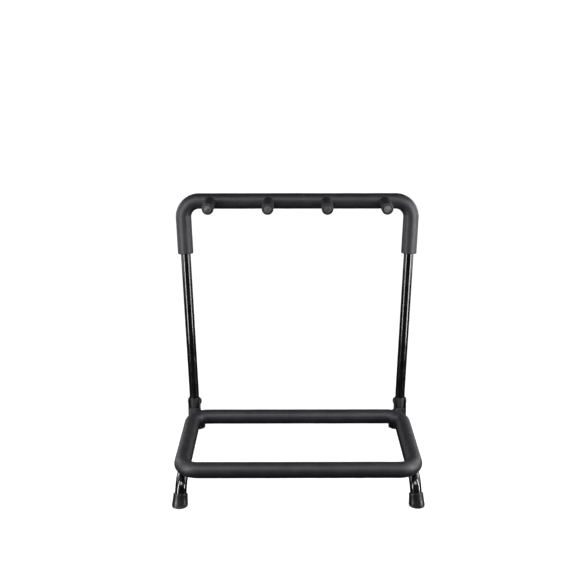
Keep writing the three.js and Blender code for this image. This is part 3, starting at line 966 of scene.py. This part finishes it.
def bolt(shank_radius, shank_length, head_radius, head_height, socket, pitch=0.8 * MM, threads=6):
    """A bolt with its head above zero and its shank below. The last turns of its thread are rings."""
    tip = -shank_length
    thread = []
    for turn in range(threads):
        low = tip + 0.5 * MM + turn * pitch
        thread += [(shank_radius - 0.35 * MM, low), (shank_radius, low + pitch / 2)]
    outline = [(0, tip), (shank_radius - 0.7 * MM, tip), *thread, (shank_radius, 0), (head_radius, 0),
               (head_radius, head_height * 0.35), (head_radius * 0.86, head_height * 0.72),
               (head_radius * 0.6, head_height * 0.95), (head_radius * 0.5, head_height), (0, head_height)]
    depth = head_height * 0.7
    return carve(turned(outline), [hexagon(socket, 2 * depth, head_height)])


def nut(across_flats, height, hole):
    body = soften(hexagon(across_flats, height, height / 2), 0.3 * MM, 3, math.radians(50))
    body = carve(body, [drill(Vector((0, 0, height / 2)), Z, 3 * height, hole)])
    return soften(body, 0.12 * MM, 1, math.radians(60))


bracket_face = bracket_half + fit_gap
bolt_end_past_nut = 0.8 * MM
crossings = {
    "pivot": {"z": pivot.z, "shank": 4 * MM, "head": 7 * MM, "rise": 1.6 * MM, "socket": 4 * MM,
              "nut": 12 * MM, "nut_height": 2.6 * MM},
    "bracket": {"z": side_tube_z, "shank": 3 * MM, "head": 5.5 * MM, "rise": 2 * MM, "socket": 3 * MM,
                "nut": 10 * MM, "nut_height": 1.95 * MM},
}


def make_crossing(kind, side_name):
    """The bolt through a bracket, with its head outside, and its nut inside."""
    size = crossings[kind]
    outward = X * SIDES[side_name]
    middle = Vector((SIDES[side_name] * side_x, pivot.y, size["z"]))
    length = 2 * bracket_face + size["nut_height"] + bolt_end_past_nut
    pin = bolt(size["shank"], length, size["head"], size["rise"], size["socket"])
    place(pin, middle + outward * bracket_face, outward)
    finished_piece(f"button_{kind}_bolt_{side_name}", pin, "bracket", "base", [f"{kind}_bolt_{side_name}"])
    ring = nut(size["nut"], size["nut_height"], size["shank"] + fit_gap)
    place(ring, middle - outward * bracket_face, -outward)
    finished_piece(f"hex_{kind}_nut_{side_name}", ring, "bracket", "base", [f"{kind}_nut_{side_name}"])


for side_name in SIDES:
    for kind in crossings:
        make_crossing(kind, side_name)

# %% [markdown]
# ## Saddles and their screws
#
# A saddle is a nylon block, hollowed above for the loop's tube and below for the side tube. A
# zinc-plated screw comes up through the side tube and the saddle into the loop's tube.

# %% Saddles and screws
def make_saddle(side_name, end_name):
    name = f"saddle_{end_name}_{side_name}"
    low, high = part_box(name)
    middle = (low + high) / 2
    body = soften(block(low, high), 1.0 * MM, 3)
    tools = [drill(Vector((middle.x, middle.y, loop_z)), Y, 60 * MM, tube_radius + fit_gap),
             drill(Vector((middle.x, middle.y, side_tube_z)), Y, 60 * MM, side_tube_radius + fit_gap),
             drill(middle, Z, 40 * MM, screw_hole_radius, HOLE_ROUND)]
    return finished_piece(f"nylon_{name}", carve(body, tools), "nylon", "base", [name])


def make_saddle_screw(side_name, end_name):
    name = f"saddle_screw_{end_name}_{side_name}"
    low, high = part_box(name)
    head_top = side_tube_z - side_tube_radius - fit_gap
    screw = bolt(2.5 * MM, high.z - head_top, 5 * MM, head_top - low.z, 3 * MM)
    place(screw, Vector(((low.x + high.x) / 2, (low.y + high.y) / 2, head_top)), -Z)
    return finished_piece(f"zinc_{name}", screw, "zinc", "base", [name])


for side_name in SIDES:
    for end_name in ENDS:
        make_saddle(side_name, end_name)
        make_saddle_screw(side_name, end_name)

# %% [markdown]
# ## Liners and plugs
#
# A thin nylon liner keeps each upright quiet between the cheeks, and a plug closes its open end.

# %% Liners and plugs
def make_liner(side_name):
    side = SIDES[side_name]
    inner, wall, top = tube_radius + fit_gap, 0.5 * MM, 9.5 * MM
    liner = bent_tube([along_upright(side, -tail), along_upright(side, top)], [], inner + wall, inner)
    liner = carve(liner, [drill(along_upright(side, 0), X, 60 * MM, pivot_hole_radius, HOLE_ROUND)])
    name = f"pivot_liner_{side_name}"
    return finished_piece(f"sleeve_{name}", liner, "nylon", "upright", [name])


def make_plug(side_name):
    flange, stem = 1.5 * MM, tube_radius - tube_wall - fit_gap
    outline = [(0, 0), (tube_radius - 0.8 * MM, 0), (tube_radius, 0.8 * MM), (tube_radius, flange),
               (stem, flange), (stem, 10 * MM), (stem - 0.8 * MM, 11 * MM), (0, 11 * MM)]
    plug = soften(turned(outline), 0.2 * MM)
    place(plug, along_upright(SIDES[side_name], -tail - flange - fit_gap), lean_up)
    name = f"upright_plug_{side_name}"
    return finished_piece(f"moulded_{name}", plug, "nylon", "upright", [name])


for side_name in SIDES:
    make_liner(side_name)
    make_plug(side_name)

# %% [markdown]
# ## Pieces that stay as the CAD has them
#
# The loop's two tubes, their joiners and the pegs' tubes are inside the foam. Their CAD shapes are
# right, so they only get their finish.

# %% Finish the CAD nodes that are still shown
for name, node in frame["nodes"].items():
    if node.hide_render:
        continue
    slot = "zinc" if name.startswith("loop_joiner") else "gloss_tube"
    node.data.materials.clear()
    node.data.materials.append(finishes[slot])
    print("kept", name, "with the finish", slot)

# %% [markdown]
# ## The studio
#
# A pale floor curves up into a pale wall behind the rack, so there is no horizon. The paper glows by
# itself, but it neither lights the rack nor shows in its gloss, so the blacks stay deep. The sky is
# white for the camera and nearly dark for everything else.
#
# Two tall, narrow soft boxes stand at the sides, a little in front. Each draws one thin line down a
# gloss tube. Further back on each side, a broad, weak panel lights the outsides of the foam. A wide box
# above the camera gives the long bars their soft band, and two boxes behind the rack light its rear.

# %% Floor and backdrop
def make_backdrop(width=7.0, front=-3.0, back=2.2, height=3.2, curve=0.8):
    sweep = bmesh.new()
    start = [sweep.verts.new((x, front, 0)) for x in (-width / 2, width / 2)]
    edge = [sweep.edges.new(start)]
    out = bmesh.ops.extrude_edge_only(sweep, edges=edge)["geom"]
    bmesh.ops.translate(sweep, vec=Y * (back - curve - front), verts=only(bmesh.types.BMVert, out))
    centre = Vector((0, back - curve, curve))
    out = bmesh.ops.spin(sweep, geom=only(bmesh.types.BMEdge, out), cent=centre, axis=X, angle=math.pi / 2,
                         steps=24)["geom_last"]
    out = bmesh.ops.extrude_edge_only(sweep, edges=only(bmesh.types.BMEdge, out))["geom"]
    bmesh.ops.translate(sweep, vec=Z * (height - curve), verts=only(bmesh.types.BMVert, out))
    bmesh.ops.recalc_face_normals(sweep, faces=sweep.faces)
    mesh = bpy.data.meshes.new("backdrop")
    sweep.to_mesh(mesh)
    sweep.free()
    mesh.shade_smooth()
    return bpy.data.objects.new("backdrop", mesh)


paper = bpy.data.materials.new("pale_paper")
paper.use_nodes = True
paper_shader = paper.node_tree.nodes["Principled BSDF"]
paper_shader.inputs["Base Color"].default_value = (0.3, 0.3, 0.3, 1)
paper_shader.inputs["Roughness"].default_value = 0.9
paper_shader.inputs["Emission Color"].default_value = (1, 1, 1, 1)
paper_shader.inputs["Emission Strength"].default_value = 0.92
backdrop = make_backdrop()
backdrop.data.materials.append(paper)
backdrop.visible_diffuse = backdrop.visible_glossy = False
bpy.context.scene.collection.objects.link(backdrop)

# %% Lights
def soft_box(name, at, target, size, power, colour=(1, 1, 1)):
    data = bpy.data.lights.new(name, "AREA")
    data.shape = "RECTANGLE"
    data.size, data.size_y = size
    data.energy = power
    data.color = colour
    lamp = bpy.data.objects.new(name, data)
    lamp.location = at
    lamp.rotation_euler = (Vector(target) - Vector(at)).to_track_quat("-Z", "Y").to_euler()
    lamp.visible_camera = False
    bpy.context.scene.collection.objects.link(lamp)
    return lamp


middle_of_rack = (cad_low + cad_high) / 2
soft_box("strip_left", (-0.92, -0.62, 0.62), (0, 0.1, 0.62), (0.2, 1.2), 13, (0.97, 0.96, 1.0))
soft_box("strip_right", (1.0, -0.42, 0.62), (0, 0.1, 0.62), (0.2, 1.2), 15, (0.98, 0.97, 1.0))
soft_box("panel_left", (-1.0, 0.2, 0.62), (0, 0.1, 0.5), (0.7, 0.8), 2.2, (0.97, 0.96, 1.0))
soft_box("panel_right", (1.0, 0.2, 0.62), (0, 0.1, 0.5), (0.7, 0.8), 4, (0.97, 0.96, 1.0))
soft_box("overhead", (0, -1.9, 2.3), middle_of_rack, (2.0, 0.7), 33)
for side in (-1, 1):
    soft_box(f"back_fill_{side}", (side * 1.7, 1.5, 0.75), (0, 0, 0.3), (0.9, 1.1), 9)

world = bpy.data.worlds.new("studio")
world.use_nodes = True
sky = world.node_tree
seen = add(sky, "ShaderNodeLightPath").outputs["Is Camera Ray"]
sky.nodes["Background"].inputs["Color"].default_value = (1, 1, 1, 1)
sky.links.new(stretch(sky, seen, 0, 1, 0.012, 1.0), sky.nodes["Background"].inputs["Strength"])
bpy.context.scene.world = world
bpy.context.scene.view_settings.view_transform = "Standard"

# %% [markdown]
# ## The camera
#
# A portrait lens about 1.9 metres in front of the rack, nearly a metre up, looking down by sixteen
# degrees. It is turned and rolled by a fraction of a degree.

# %% Camera
SENSOR = 36.0
camera_data = bpy.data.cameras.new("camera")
camera_data.sensor_width = SENSOR
camera_data.lens = 56.6
camera_place = (-0.018, -1.8969, 0.9449)
camera = bpy.data.objects.new("camera", camera_data)
look_down = math.radians(15.98)
turn_left, roll = math.radians(-0.17), math.radians(-0.03)
aim = Matrix.Rotation(turn_left, 4, "Z") @ Matrix.Rotation(math.pi / 2 - look_down, 4, "X")
aim @= Matrix.Rotation(roll, 4, "Z")
camera.matrix_world = Matrix.Translation(camera_place) @ aim
bpy.context.scene.collection.objects.link(camera)
bpy.context.scene.camera = camera
